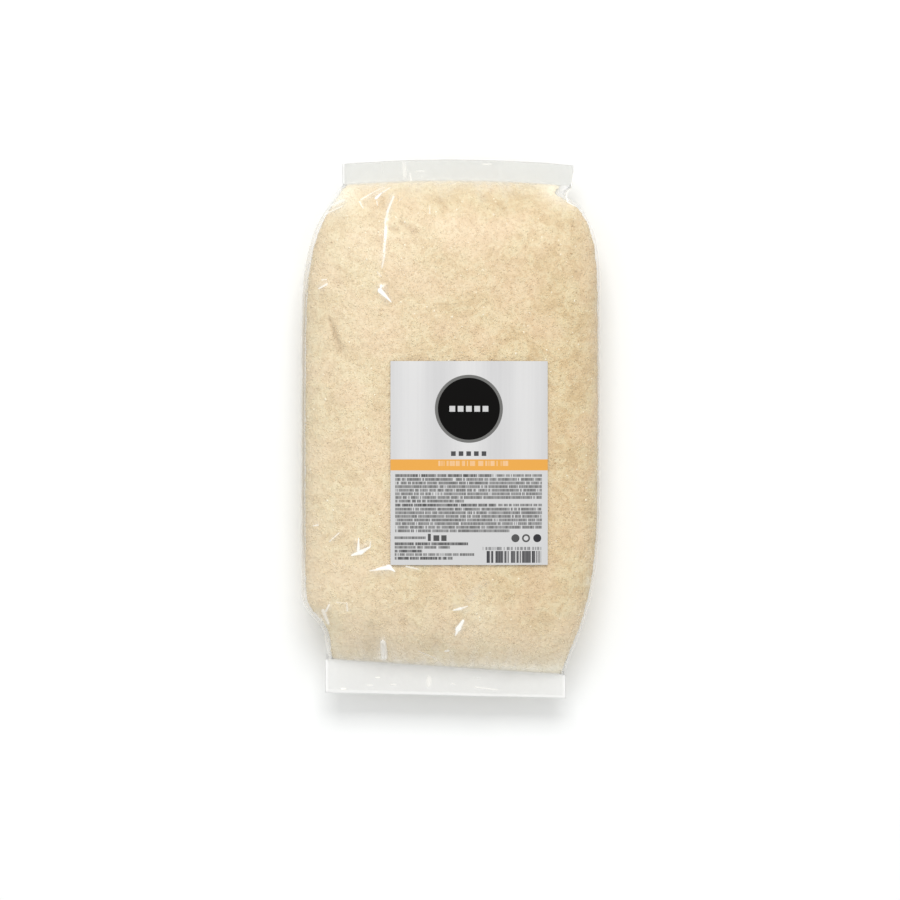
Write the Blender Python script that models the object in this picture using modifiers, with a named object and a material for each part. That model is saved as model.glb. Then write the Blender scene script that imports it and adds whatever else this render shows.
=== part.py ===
"""A one-kilogram clear film bag of raw cane sugar, lying on its back, with a label on its front.

The bag is a side-gusset pack: its seals are as wide as the flat film, and the filled body swells
wider than that where the gussets open. X runs across the bag, Y from the bottom seal to the top
seal, and Z up from the surface that it lies on. Lengths are in metres.
"""

import math
from typing import NamedTuple

import bmesh
import bpy
import numpy as np

# The filled body
BODY_HALF_WIDTH = 0.0719
HEIGHT_NEAR_TOP = 0.0440
HEIGHT_NEAR_BOTTOM = 0.0465
WIDEST_AT = 0.0190  # height of the fold line along each side, and of both seals

# The front and the back between the seals
FRONT_REACH = 0.0125
FRONT_SQUARENESS = 3.4  # exponent of the superellipse above the fold line
SEAL_SQUARENESS = 4.0
SQUARING_REACH = 0.0200
BACK_REACH = 0.0260  # the back lies flat on the floor from this far inside each seal
BACK_ROUNDNESS = 1.5
SIDE_RADIUS = 0.0190
SIDE_RADIUS_AT_SEAL = 0.0040

# The fold that each side panel makes where it tucks in by a seal
GUSSET_DEPTH = 0.0100
GUSSET_REACH = 0.0100
GUSSET_HEIGHT = 0.20  # as a share of the section's height above or below the fold line
PINCH_SPREAD = 0.0036

# The seals
SEAL_THICKNESS = 0.0008
SEAL_RIM = 0.0008  # the outermost strip of a seal, which thins towards its edge

# The label
LABEL_WIDTH = 0.0740
LABEL_LENGTH = 0.0960
LABEL_CENTRE = (0.0088, -0.0163)
LABEL_THICKNESS = 0.0004
LABEL_GAP = 0.0003

# How finely the surfaces are divided
RING_POINTS = 64
BACK_CORNER_SHARE = 0.36  # of the points along the back, how many round each of its corners
BODY_RINGS = 48
LABEL_COLUMNS = 15
LABEL_ROWS = 20

FILM_COLOUR = (0.80, 0.64, 0.40, 1.0)
LABEL_COLOUR = (0.74, 0.74, 0.75, 1.0)


class Shoulder(NamedTuple):
    """One corner of the outline: past a neck, it swells over about reach from seal to body."""

    neck: float
    pinch: float
    reach: float
    power: float


class End(NamedTuple):
    """One end of the bag: its seal runs from line to edge, which may each slope across the bag."""

    towards: int
    line: float
    edge: float
    line_slope: float
    edge_slope: float
    bow: float
    half_width: float
    off_centre: float
    left: Shoulder
    right: Shoulder


TOP = End(
    towards=1,
    line=0.1198,
    edge=0.1295,
    line_slope=0.0,
    edge_slope=0.0,
    bow=0.0024,
    half_width=0.0560,
    off_centre=0.0039,
    left=Shoulder(neck=0.0, pinch=0.0, reach=0.0205, power=1.20),
    right=Shoulder(neck=0.0050, pinch=0.0056, reach=0.0142, power=1.35),
)
BOTTOM = End(
    towards=-1,
    line=0.1148,
    edge=0.1283,
    line_slope=-0.066,
    edge_slope=-0.0225,
    bow=0.0,
    half_width=0.0578,
    off_centre=-0.0024,
    left=Shoulder(neck=0.0, pinch=0.0, reach=0.0222, power=2.9),
    right=Shoulder(neck=0.0, pinch=0.0, reach=0.0300, power=1.5),
)
ENDS = (TOP, BOTTOM)


def clear_scene():
    for obj in list(bpy.data.objects):
        bpy.data.objects.remove(obj, do_unlink=True)


def principled(name, colour, roughness):
    material = bpy.data.materials.new(name)
    material.use_nodes = True
    shader = material.node_tree.nodes["Principled BSDF"]
    shader.inputs["Base Color"].default_value = colour
    shader.inputs["Roughness"].default_value = roughness
    return material


def collection(name):
    made = bpy.data.collections.new(name)
    bpy.context.scene.collection.children.link(made)
    return made


def inwards(end, y):
    """How far y lies inside this end's seal line, or 0 in the seal itself."""
    return max(0.0, end.line - end.towards * y)


def swelling(distance, reach, power=1.0):
    """Goes from 0 at a seal to 1 in the body."""
    return 1.0 - math.exp(-((distance / reach) ** power))


def both_ends(y, reach):
    return math.prod(swelling(inwards(end, y), reach) for end in ENDS)


def half_width(y, side):
    """How far the bag reaches at y, on the side given by the sign."""
    width = BODY_HALF_WIDTH
    for end in ENDS:
        shoulder = end.right if side > 0 else end.left
        past_neck = inwards(end, y) - shoulder.neck
        seal = end.half_width + math.copysign(1.0, side) * end.off_centre
        swollen = swelling(max(0.0, past_neck), shoulder.reach, shoulder.power)
        width -= (BODY_HALF_WIDTH - seal) * (1.0 - swollen)
        width -= shoulder.pinch * math.exp(-((past_neck / PINCH_SPREAD) ** 2))
    return width


def rise(y):
    """Height of the front above the fold line, on the centre line."""
    share = (y + BOTTOM.edge) / (TOP.edge + BOTTOM.edge)
    height = HEIGHT_NEAR_BOTTOM + share * (HEIGHT_NEAR_TOP - HEIGHT_NEAR_BOTTOM)
    full = height - WIDEST_AT - SEAL_THICKNESS / 2
    return SEAL_THICKNESS / 2 + full * both_ends(y, FRONT_REACH)


def drop(y):
    """Depth of the back below the fold line."""
    share = min(1.0, min(inwards(end, y) for end in ENDS) / BACK_REACH)
    rounded = (1.0 - (1.0 - share) ** BACK_ROUNDNESS) ** (1.0 / BACK_ROUNDNESS)
    return SEAL_THICKNESS / 2 + (WIDEST_AT - SEAL_THICKNESS / 2) * rounded


def squareness(y):
    """Exponent of the front's superellipse: most like a box by the seals."""
    return SEAL_SQUARENESS + (FRONT_SQUARENESS - SEAL_SQUARENESS) * both_ends(y, SQUARING_REACH)


def gusset(y):
    """How far the fold line is tucked in at y."""
    shares = [inwards(end, y) / GUSSET_REACH for end in ENDS]
    return GUSSET_DEPTH * sum(share * math.exp(1.0 - share) for share in shares)


def plan_shift(x, y):
    """How far a point moves along Y because its end's seal slopes or bows."""
    moved = 0.0
    for end in ENDS:
        in_seal = (end.towards * y - end.line) / (end.edge - end.line)
        slope = end.line_slope + max(0.0, in_seal) * (end.edge_slope - end.line_slope)
        fading = math.exp(-((inwards(end, y) / (2 * SQUARING_REACH)) ** 2))
        across = min(1.2, abs(x) / end.half_width)
        moved += fading * (slope * x - end.towards * end.bow * across * across)
    return moved


def front_height(x, y):
    """Height of the bag's front above a point in plan."""
    across = min(1.0, abs(x) / half_width(y, x))
    power = squareness(y)
    return WIDEST_AT + rise(y) * (1.0 - across**power) ** (1.0 / power)


def front_point(y, share):
    """(across, up), each as a share, on the front at y. Share goes from 0 at the right to 1."""
    turn, power = math.pi * share, 2.0 / squareness(y)
    return math.copysign(abs(math.cos(turn)) ** power, math.cos(turn)), math.sin(turn) ** power


def back_point(y, share):
    """(across, down) on the back at y: flat in the middle, with a round corner at each side."""
    side = 1.0 - 2.0 * share
    width = half_width(y, side)
    radius = SIDE_RADIUS_AT_SEAL + (SIDE_RADIUS - SIDE_RADIUS_AT_SEAL) * both_ends(y, FRONT_REACH)
    flat = 1.0 - radius / width
    corner = (abs(side) - 1.0) / BACK_CORNER_SHARE + 1.0
    if corner < 0.0:
        return side / (1.0 - BACK_CORNER_SHARE) * flat, 1.0
    turn = math.pi / 2 * corner
    return math.copysign(flat + (1.0 - flat) * math.sin(turn), side), math.cos(turn)


def section(y, thick):
    """The points once round the bag at y, from the right-hand fold line over the front."""
    half = RING_POINTS // 2
    points = []
    for k in range(RING_POINTS):
        if k < half:
            across, up = front_point(y, k / half)
            z = WIDEST_AT + thick * up * rise(y)
        else:
            across, up = back_point(y, 2.0 - k / half)
            z = WIDEST_AT - thick * up * drop(y)
        tucked = gusset(y) * math.exp(-((up / GUSSET_HEIGHT) ** 2))
        x = across * half_width(y, across) - math.copysign(tucked, across)
        points.append((x, y + plan_shift(x, y), z))
    return points


def section_places():
    """(y, thickness share) of each section, bottom to top, closer together by the seals."""
    middle, reach = (TOP.line - BOTTOM.line) / 2, (TOP.line + BOTTOM.line) / 2
    turns = np.linspace(-math.pi / 2, math.pi / 2, BODY_RINGS + 1)
    body = [(middle + reach * math.sin(turn), 1.0) for turn in turns]
    lower = [(-BOTTOM.edge, 0.4), (SEAL_RIM - BOTTOM.edge, 1.0)]
    upper = [(TOP.edge - SEAL_RIM, 1.0), (TOP.edge, 0.4)]
    return lower + body + upper


def build_bag(into):
    """Lofts through the sections, and closes each end between its upper and lower half."""
    mesh = bmesh.new()
    rings = [[mesh.verts.new(p) for p in section(*place)] for place in section_places()]
    for near, far in zip(rings, rings[1:]):
        for k in range(RING_POINTS):
            after = (k + 1) % RING_POINTS
            mesh.faces.new((near[k], near[after], far[after], far[k]))
    for ring in (rings[0], rings[-1]):
        for k in range(RING_POINTS // 2):
            corners = (ring[k], ring[k + 1], ring[-k - 1], ring[-k])
            mesh.faces.new(list(dict.fromkeys(corners)))
    bmesh.ops.recalc_face_normals(mesh, faces=mesh.faces)
    data = bpy.data.meshes.new("bag")
    mesh.to_mesh(data)
    mesh.free()
    data.shade_smooth()
    bag = bpy.data.objects.new("bag", data)
    bag.data.materials.append(principled("sugar_in_film", FILM_COLOUR, 0.35))
    into.objects.link(bag)
    return bag


def build_label(into):
    """A sheet that follows the bag's front, thickened away from it."""
    bpy.ops.mesh.primitive_grid_add(x_subdivisions=LABEL_COLUMNS, y_subdivisions=LABEL_ROWS, size=1.0)
    label = bpy.context.object
    label.name = label.data.name = "label"
    for vertex in label.data.vertices:
        x = LABEL_CENTRE[0] + vertex.co.x * LABEL_WIDTH
        y = LABEL_CENTRE[1] + vertex.co.y * LABEL_LENGTH
        vertex.co = (x, y, front_height(x, y) + LABEL_GAP)
    paper = label.modifiers.new("paper", "SOLIDIFY")
    paper.thickness = LABEL_THICKNESS
    paper.offset = 1.0
    label.data.shade_smooth()
    label.data.materials.append(principled("label_paper", LABEL_COLOUR, 0.30))
    for holder in list(label.users_collection):
        holder.objects.unlink(label)
    into.objects.link(label)
    return label


def main():
    clear_scene()
    pack = collection("sugar_packet")
    build_bag(pack)
    build_label(pack)


main()
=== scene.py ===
"""The looks of a one-kilogram clear film bag of golden cane sugar with a printed label.

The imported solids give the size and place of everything. The bag's solid is replaced by a creased
film, a body of sugar inside it and loose crystals on the sugar, and the label's solid by a printed
sheet. Lengths are in metres: X runs across the bag, Y towards its top seal, Z up.
"""

import math
from typing import NamedTuple

import bpy
import numpy as np
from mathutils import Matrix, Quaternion, Vector


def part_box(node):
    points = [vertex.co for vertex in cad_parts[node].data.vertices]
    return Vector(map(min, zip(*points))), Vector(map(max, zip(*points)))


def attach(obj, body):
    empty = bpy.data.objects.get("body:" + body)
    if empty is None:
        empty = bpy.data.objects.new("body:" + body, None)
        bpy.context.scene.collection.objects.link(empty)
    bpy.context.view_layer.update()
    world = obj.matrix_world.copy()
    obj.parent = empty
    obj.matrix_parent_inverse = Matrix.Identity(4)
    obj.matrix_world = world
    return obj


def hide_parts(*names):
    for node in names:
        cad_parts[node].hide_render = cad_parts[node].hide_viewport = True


MM = 0.001

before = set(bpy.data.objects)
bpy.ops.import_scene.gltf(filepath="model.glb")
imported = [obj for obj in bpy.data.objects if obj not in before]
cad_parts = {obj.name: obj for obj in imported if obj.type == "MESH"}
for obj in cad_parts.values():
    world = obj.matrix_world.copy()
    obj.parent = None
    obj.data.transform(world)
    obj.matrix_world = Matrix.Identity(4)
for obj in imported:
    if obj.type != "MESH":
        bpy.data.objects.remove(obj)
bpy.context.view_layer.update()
BAG_LOW, BAG_HIGH = (np.array(corner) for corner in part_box("bag"))
LABEL_LOW, LABEL_HIGH = (np.array(corner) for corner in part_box("label"))

# ------------------------------------------------------------------ the bag's form

BODY_HALF_WIDTH = (BAG_HIGH[0] - BAG_LOW[0]) / 2
WIDEST_AT = 0.0190
HEIGHT_NEAR_TOP = 0.0440
HEIGHT_NEAR_BOTTOM = 0.0465
FRONT_REACH = 0.0125
FRONT_SQUARENESS = 3.4
SEAL_SQUARENESS = 4.0
SQUARING_REACH = 0.0200
BACK_REACH = 0.0260
BACK_ROUNDNESS = 1.5
SIDE_RADIUS = 0.0190
SIDE_RADIUS_AT_SEAL = 0.0040
GUSSET_DEPTH = 0.0100
GUSSET_REACH = 0.0100
GUSSET_HEIGHT = 0.20
PINCH_SPREAD = 0.0036


class Shoulder(NamedTuple):
    """One corner of the outline: past a neck, it swells over about reach from seal to body."""

    neck: float
    pinch: float
    reach: float
    power: float


class End(NamedTuple):
    """One end of the bag: its seal runs from line to edge, which may each slope across the bag."""

    towards: int
    line: float
    edge: float
    line_slope: float
    edge_slope: float
    bow: float
    half_width: float
    off_centre: float
    left: Shoulder
    right: Shoulder


TOP = End(
    towards=1,
    line=0.1198,
    edge=0.1295,
    line_slope=0.0,
    edge_slope=0.0,
    bow=0.0024,
    half_width=0.0560,
    off_centre=0.0039,
    left=Shoulder(neck=0.0, pinch=0.0, reach=0.0205, power=1.20),
    right=Shoulder(neck=0.0050, pinch=0.0056, reach=0.0142, power=1.35),
)
BOTTOM = End(
    towards=-1,
    line=0.1148,
    edge=0.1283,
    line_slope=-0.066,
    edge_slope=-0.0225,
    bow=0.0,
    half_width=0.0578,
    off_centre=-0.0024,
    left=Shoulder(neck=0.0, pinch=0.0, reach=0.0235, power=4.5),
    right=Shoulder(neck=0.0, pinch=0.0, reach=0.0300, power=1.5),
)
ENDS = (TOP, BOTTOM)


class Layer(NamedTuple):
    """How a layer differs from the bag's form: the film is the form, and the sugar lies inside."""

    inset: float
    left_inset: float
    right_inset: float
    end_inset: float
    corner: bool
    end_thickness: float
    groove: float
    rows: int
    front_columns: int
    back_columns: int


FILM = Layer(
    inset=0.0,
    left_inset=0.0,
    right_inset=0.0,
    end_inset=0.0,
    corner=False,
    end_thickness=0.8 * MM,
    groove=1.2 * MM,
    rows=290,
    front_columns=236,
    back_columns=96,
)
SUGAR = Layer(
    inset=1.0 * MM,
    left_inset=2.5 * MM,
    right_inset=1.4 * MM,
    end_inset=0.4 * MM,
    corner=True,
    end_thickness=0.3 * MM,
    groove=0.6 * MM,
    rows=280,
    front_columns=220,
    back_columns=110,
)
INSET_BY_SEAL = 1.6  # more inset at a seal, as a share: the film slopes there
RIGHT_CUT, RIGHT_CUT_REACH = 0.0035, 0.0130  # the corner by the top seal that the sugar leaves empty
LEFT_SPREAD, LEFT_SPREAD_REACH = 0.0015, 0.0170  # and the other one, where it comes nearer the film
FINE = 900  # points along a half section, before they are spaced evenly


def inwards(end, y):
    """How far y lies inside this end's seal line, or 0 in the seal itself."""
    return np.maximum(0.0, end.line - end.towards * y)


def end_room(y):
    """Distance to the nearer seal line."""
    return np.minimum(inwards(TOP, y), inwards(BOTTOM, y))


def swelling(distance, reach, power=1.0):
    """One less the falling exponential of (distance / reach) to the power: 0 at a seal, then 1."""
    return 1.0 - np.exp(-((distance / reach) ** power))


def both_ends(y, reach):
    """The product of the swelling away from each seal."""
    return swelling(inwards(TOP, y), reach) * swelling(inwards(BOTTOM, y), reach)


def quarter_round(distance, reach, power):
    """A superellipse's quarter: 0 at distance 0, rising steeply, and 1 from reach on."""
    share = np.clip(distance / reach, 0.0, 1.0)
    return (1.0 - (1.0 - share) ** power) ** (1.0 / power)


def half_width(y, side):
    """The body's half width, less what each end's shoulder takes off, less the pinch at its neck."""
    width = np.full(np.shape(y), BODY_HALF_WIDTH)
    for end in ENDS:
        shoulder = end.right if side > 0 else end.left
        past_neck = inwards(end, y) - shoulder.neck
        seal = end.half_width + side * end.off_centre
        swollen = swelling(np.maximum(0.0, past_neck), shoulder.reach, shoulder.power)
        width = width - (BODY_HALF_WIDTH - seal) * (1.0 - swollen)
        width = width - shoulder.pinch * np.exp(-((past_neck / PINCH_SPREAD) ** 2))
    return width


def rise(y):
    """Height of the front above the fold line on the centre line: it swells away from each seal."""
    share = (y + BOTTOM.edge) / (TOP.edge + BOTTOM.edge)
    height = HEIGHT_NEAR_BOTTOM + share * (HEIGHT_NEAR_TOP - HEIGHT_NEAR_BOTTOM)
    return (height - WIDEST_AT) * both_ends(y, FRONT_REACH)


def drop(y):
    """Depth of the back below the fold line: a quarter round from each seal down to the floor."""
    return WIDEST_AT * quarter_round(end_room(y), BACK_REACH, BACK_ROUNDNESS)


def squareness(y):
    """Exponent of the front's superellipse: most like a box by the seals."""
    return SEAL_SQUARENESS + (FRONT_SQUARENESS - SEAL_SQUARENESS) * both_ends(y, SQUARING_REACH)


def gusset(y):
    """Depth of the tuck in each side panel: s times exp(1 - s), with s the distance over a reach."""
    shares = [inwards(end, y) / GUSSET_REACH for end in ENDS]
    return GUSSET_DEPTH * sum(share * np.exp(1.0 - share) for share in shares)


def plan_shift(x, y):
    """Move along Y that slopes or bows each seal, fading out as a bell curve into the body."""
    moved = np.zeros(np.broadcast(x, y).shape)
    for end in ENDS:
        in_seal = np.maximum(0.0, (end.towards * y - end.line) / (end.edge - end.line))
        slope = end.line_slope + in_seal * (end.edge_slope - end.line_slope)
        fading = np.exp(-((inwards(end, y) / (2 * SQUARING_REACH)) ** 2))
        across = np.minimum(1.2, np.abs(x) / end.half_width)
        moved = moved + fading * (slope * x - end.towards * end.bow * across**2)
    return moved


def front_height(x, y):
    """Height of the front above a point in plan: a superellipse across the width at y."""
    width = np.where(x > 0, half_width(y, 1), half_width(y, -1))
    power = squareness(y)
    return WIDEST_AT + rise(y) * (1.0 - np.minimum(1.0, np.abs(x) / width) ** power) ** (1.0 / power)


def front_arc(y):
    """(across, up) shares over the front, right to left: a superellipse met by a turning ray."""
    turn, power = np.linspace(0.0, math.pi, FINE), squareness(y)
    reach = (np.abs(np.cos(turn)) ** power + np.sin(turn) ** power) ** (-1.0 / power)
    return np.cos(turn) * reach, np.sin(turn) * reach


def back_arc(y):
    """(across, up) shares under the back, left to right: flat, with a quarter round at each side."""
    room = SIDE_RADIUS - SIDE_RADIUS_AT_SEAL
    flat = 1.0 - (SIDE_RADIUS_AT_SEAL + room * both_ends(y, FRONT_REACH)) / BODY_HALF_WIDTH
    side = np.linspace(-1.0, 1.0, FINE)
    turn = np.clip(2.0 * np.abs(side) - 1.0, 0.0, 1.0) * math.pi / 2
    plain = np.clip(2.0 * np.abs(side), 0.0, 1.0) * flat
    across = np.sign(side) * (plain + (1.0 - flat) * np.sin(turn))
    return across, np.broadcast_to(np.cos(turn), across.shape)


def half_section(y, layer, front):
    """One half of the section at each y, front or back, as (rows, FINE, 3).

    Each half is its arc scaled to the layer's width and height. The fold line at each side is
    tucked in by a bell curve of the height, and the whole is slid along Y with its seal.
    """
    y = y[:, None]
    right, left = half_width(y, 1), half_width(y, -1)
    across, up = front_arc(y) if front else back_arc(y)
    width = np.where(across > 0, right - layer.right_inset, left - layer.left_inset)
    inset = layer.inset * (1.0 + INSET_BY_SEAL * np.exp(-end_room(y) / (9 * MM)))
    height = (rise(y) if front else drop(y)) - inset
    if layer.corner:
        from_top = inwards(TOP, y)
        right_cut = RIGHT_CUT * np.maximum(0.0, 1.0 - from_top / RIGHT_CUT_REACH)
        left_spread = LEFT_SPREAD * np.maximum(0.0, 1.0 - from_top / LEFT_SPREAD_REACH)
        width = width + np.where(across > 0, -right_cut, left_spread)
        height = height * quarter_round(end_room(y) - layer.end_inset, 3 * MM, 2.0)
    height = np.maximum(0.0, height) + layer.end_thickness / 2 * np.exp(-end_room(y) / (4 * MM))
    tucked = gusset(y) + layer.groove * both_ends(y, FRONT_REACH)
    x = across * width - np.sign(across) * tucked * np.exp(-((up / GUSSET_HEIGHT) ** 2))
    z = WIDEST_AT + (height * up if front else -height * up)
    return np.stack([x, np.broadcast_to(y, x.shape) + plan_shift(x, y), np.maximum(0.0, z)], axis=2)


def even_steps(lines, count):
    """count points at equal steps along each row's line, without its last: lines is (rows, n, 3)."""
    steps = np.linalg.norm(np.diff(lines, axis=1), axis=2)
    lengths = np.concatenate([np.zeros((len(lines), 1)), np.cumsum(steps, axis=1)], axis=1)
    shares = np.linspace(0.0, 1.0, count + 1)[:-1]
    spaced = [
        [np.interp(shares * along[-1], along, line[:, axis]) for axis in range(3)]
        for along, line in zip(lengths, lines)
    ]
    return np.transpose(np.array(spaced), (0, 2, 1))


def layer_grid(layer):
    """The layer's points as (rows, columns, 3), each row once round the bag, and each row's y."""
    low = layer.end_inset - BOTTOM.line if layer.corner else -BOTTOM.edge
    high = TOP.line - layer.end_inset if layer.corner else TOP.edge
    y = np.linspace(low, high, layer.rows)
    front = even_steps(half_section(y, layer, True), layer.front_columns)
    back = even_steps(half_section(y, layer, False), layer.back_columns)
    return np.concatenate([front, back], axis=1), y


# ------------------------------------------------------------------ meshes


def mesh_from(name, points, *faces):
    """A mesh of points and faces: each array of faces holds those with one number of corners."""
    sides = np.concatenate([np.full(len(part), part.shape[1]) for part in faces])
    corners = np.concatenate([part.reshape(-1) for part in faces])
    mesh = bpy.data.meshes.new(name)
    mesh.vertices.add(len(points))
    mesh.vertices.foreach_set("co", points.astype(np.float32).reshape(-1))
    mesh.loops.add(len(corners))
    mesh.loops.foreach_set("vertex_index", corners.astype(np.int32))
    mesh.polygons.add(len(sides))
    mesh.polygons.foreach_set("loop_start", (np.cumsum(sides) - sides).astype(np.int32))
    mesh.update(calc_edges=True)
    return mesh


def tube_mesh(name, grids, front_columns):
    """A closed mesh of grids whose rows run round them: quads between rows, and a strip at each end.

    grids is (tubes, rows, columns, 3), or one tube without the first axis. An end's strip joins
    each front point to the back point that lies the same share of the way.
    """
    grids = grids.reshape(-1, *grids.shape[-3:])
    rows, columns = grids.shape[1:3]
    index = np.arange(rows * columns).reshape(rows, columns)
    after = np.roll(index, -1, axis=1)
    quads = np.stack([index[:-1], index[1:], after[1:], after[:-1]], axis=-1).reshape(-1, 4)
    over = np.arange(front_columns + 1)
    under = (columns - (over * (columns - front_columns) / front_columns).round().astype(int)) % columns
    strip = np.concatenate(
        [
            np.stack([over[:-1], over[1:], under[1:]], axis=-1),
            np.stack([over[:-1], under[1:], under[:-1]], axis=-1),
        ]
    )
    kept = strip[(strip != np.roll(strip, 1, axis=1)).all(axis=1)]
    caps = np.concatenate([kept, kept[:, ::-1] + (rows - 1) * columns])
    starts = rows * columns * np.arange(len(grids))[:, None, None]
    faces = [(part + starts).reshape(-1, part.shape[1]) for part in (quads, caps)]
    mesh = mesh_from(name, grids.reshape(-1, 3), *faces)
    mesh.shade_smooth()
    return mesh


def set_attribute(mesh, name, values):
    """Stores one number for each point."""
    attribute = mesh.attributes.new(name, "FLOAT", "POINT")
    attribute.data.foreach_set("value", np.ascontiguousarray(values, np.float32).reshape(-1))


def placed(name, data):
    """A new object of this data, put into the scene."""
    made = bpy.data.objects.new(name, data)
    bpy.context.scene.collection.objects.link(made)
    return made


def piece(name, mesh, material, replaced):
    """Puts a finished mesh into the scene: it rides on the part's only body and stands for a solid."""
    made = placed(name, mesh)
    mesh.materials.append(material)
    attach(made, "root")
    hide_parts(replaced)
    return made


def normals_of(grid):
    """Outward unit normals of a grid whose rows run round the bag: both steps' cross product."""
    round_step = np.roll(grid, -1, axis=1) - np.roll(grid, 1, axis=1)
    normal = np.cross(np.gradient(grid, axis=0), round_step)
    return normal / np.maximum(np.linalg.norm(normal, axis=2, keepdims=True), 1e-12)


def ripples(x, y, wavelength, seed, waves=14):
    """Smooth random relief, mostly within 1 either way: sines of random ways, pitches and phases."""
    random = np.random.default_rng(seed)
    total = np.zeros(np.broadcast(x, y).shape)
    for _ in range(waves):
        way, phase = random.uniform(0.0, math.tau, 2)
        pitch = math.tau / (wavelength * random.uniform(0.6, 1.6))
        total += np.sin(pitch * (x * math.cos(way) + y * math.sin(way)) + phase)
    return total / math.sqrt(waves)


def bell(distance, reach):
    """A bell curve: 1 at distance 0, and 0.37 at the reach."""
    return np.exp(-((distance / reach) ** 2))


# ------------------------------------------------------------------ creases


class Crease(NamedTuple):
    """A ridge in the film from start to end, in millimetres, with a flank to each side of it."""

    start: tuple
    end: tuple
    left: float
    right: float
    height: float


def crease_height(x, y, creases):
    """The highest ridge at each point: a bell curve across it, and 1 less a fourth power along it."""
    highest = np.zeros(x.shape)
    for crease in creases:
        along, across, length = along_and_across(x, y, crease)
        width = np.where(across > 0, crease.left, crease.right) * MM
        taper = np.clip(1.0 - np.abs(2.0 * along / length - 1.0) ** 4, 0.0, 1.0)
        highest = np.maximum(highest, CREASE_SHARE * crease.height * MM * taper * bell(across, width))
    return highest


CREASE_SHARE = 0.7  # of each ridge's stated height
CREASE_ROWS = (
    ((-27.2, 113.0), (-30.4, 97.0), 1.3, 1.5, 0.62),
    ((-30.1, 99.5), (-32.2, 75.0), 1.2, 1.5, 0.58),
    ((-33.8, 68.2), (-28.0, 58.5), 1.2, 2.6, 0.85),
    ((-32.0, 68.0), (-30.5, 63.0), 1.6, 1.4, 0.60),
    ((-29.4, 115.4), (-42.8, 107.4), 1.2, 1.3, 0.55),
    ((-42.0, 109.5), (-40.0, 104.5), 1.1, 1.2, 0.40),
    ((-30.8, 114.0), (-36.0, 108.4), 1.4, 1.3, 0.60),
    ((-49.5, 108.8), (-56.8, 104.8), 1.4, 1.4, 0.55),
    ((-57.9, 70.0), (-62.4, 65.6), 1.5, 1.6, 0.60),
    ((-48.0, -60.5), (-37.8, -54.4), 1.5, 1.6, 0.70),
    ((-44.2, -58.2), (-44.5, -51.8), 1.1, 1.1, 0.50),
    ((-38.5, -57.0), (-38.2, -52.2), 1.1, 1.1, 0.45),
    ((-38.6, -67.3), (-25.0, -67.0), 1.5, 1.7, 0.70),
    ((-23.4, -63.7), (-14.6, -65.9), 1.3, 1.3, 0.55),
    ((-57.4, -54.0), (-50.4, -48.2), 1.1, 1.1, 0.45),
    ((-64.4, -46.2), (-61.8, -43.6), 1.2, 1.2, 0.45),
    ((-59.6, -87.2), (-56.0, -82.4), 1.4, 1.4, 0.55),
    ((-48.5, -81.8), (-48.6, -87.0), 1.2, 1.2, 0.45),
    ((-63.4, -85.5), (-58.4, -92.8), 1.4, 1.6, 0.60),
    ((-62.0, -91.5), (-57.5, -86.5), 1.3, 1.3, 0.50),
    ((-31.7, -97.5), (-32.0, -112.0), 1.4, 3.0, 0.75),
    ((0.2, -83.2), (9.6, -86.4), 1.3, 1.3, 0.50),
    ((1.6, -98.2), (7.4, -89.4), 1.5, 1.5, 0.65),
    ((7.8, -82.2), (11.6, -76.2), 1.8, 1.8, 0.40),
    ((11.2, -76.6), (18.6, -71.4), 1.8, 1.8, 0.40),
    ((64.8, -69.6), (64.6, -75.0), 1.2, 1.2, 0.45),
)
FRONT_CREASES = tuple(Crease(*row) for row in CREASE_ROWS)


class Glint(NamedTuple):
    """A painted highlight on a crease or seal of the film, in millimetres: its half width goes from first
    to last.
    """

    start: tuple
    end: tuple
    first: float
    last: float
    white: float


# painted highlights: white marks where the film's creases and seals catch the light
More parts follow.
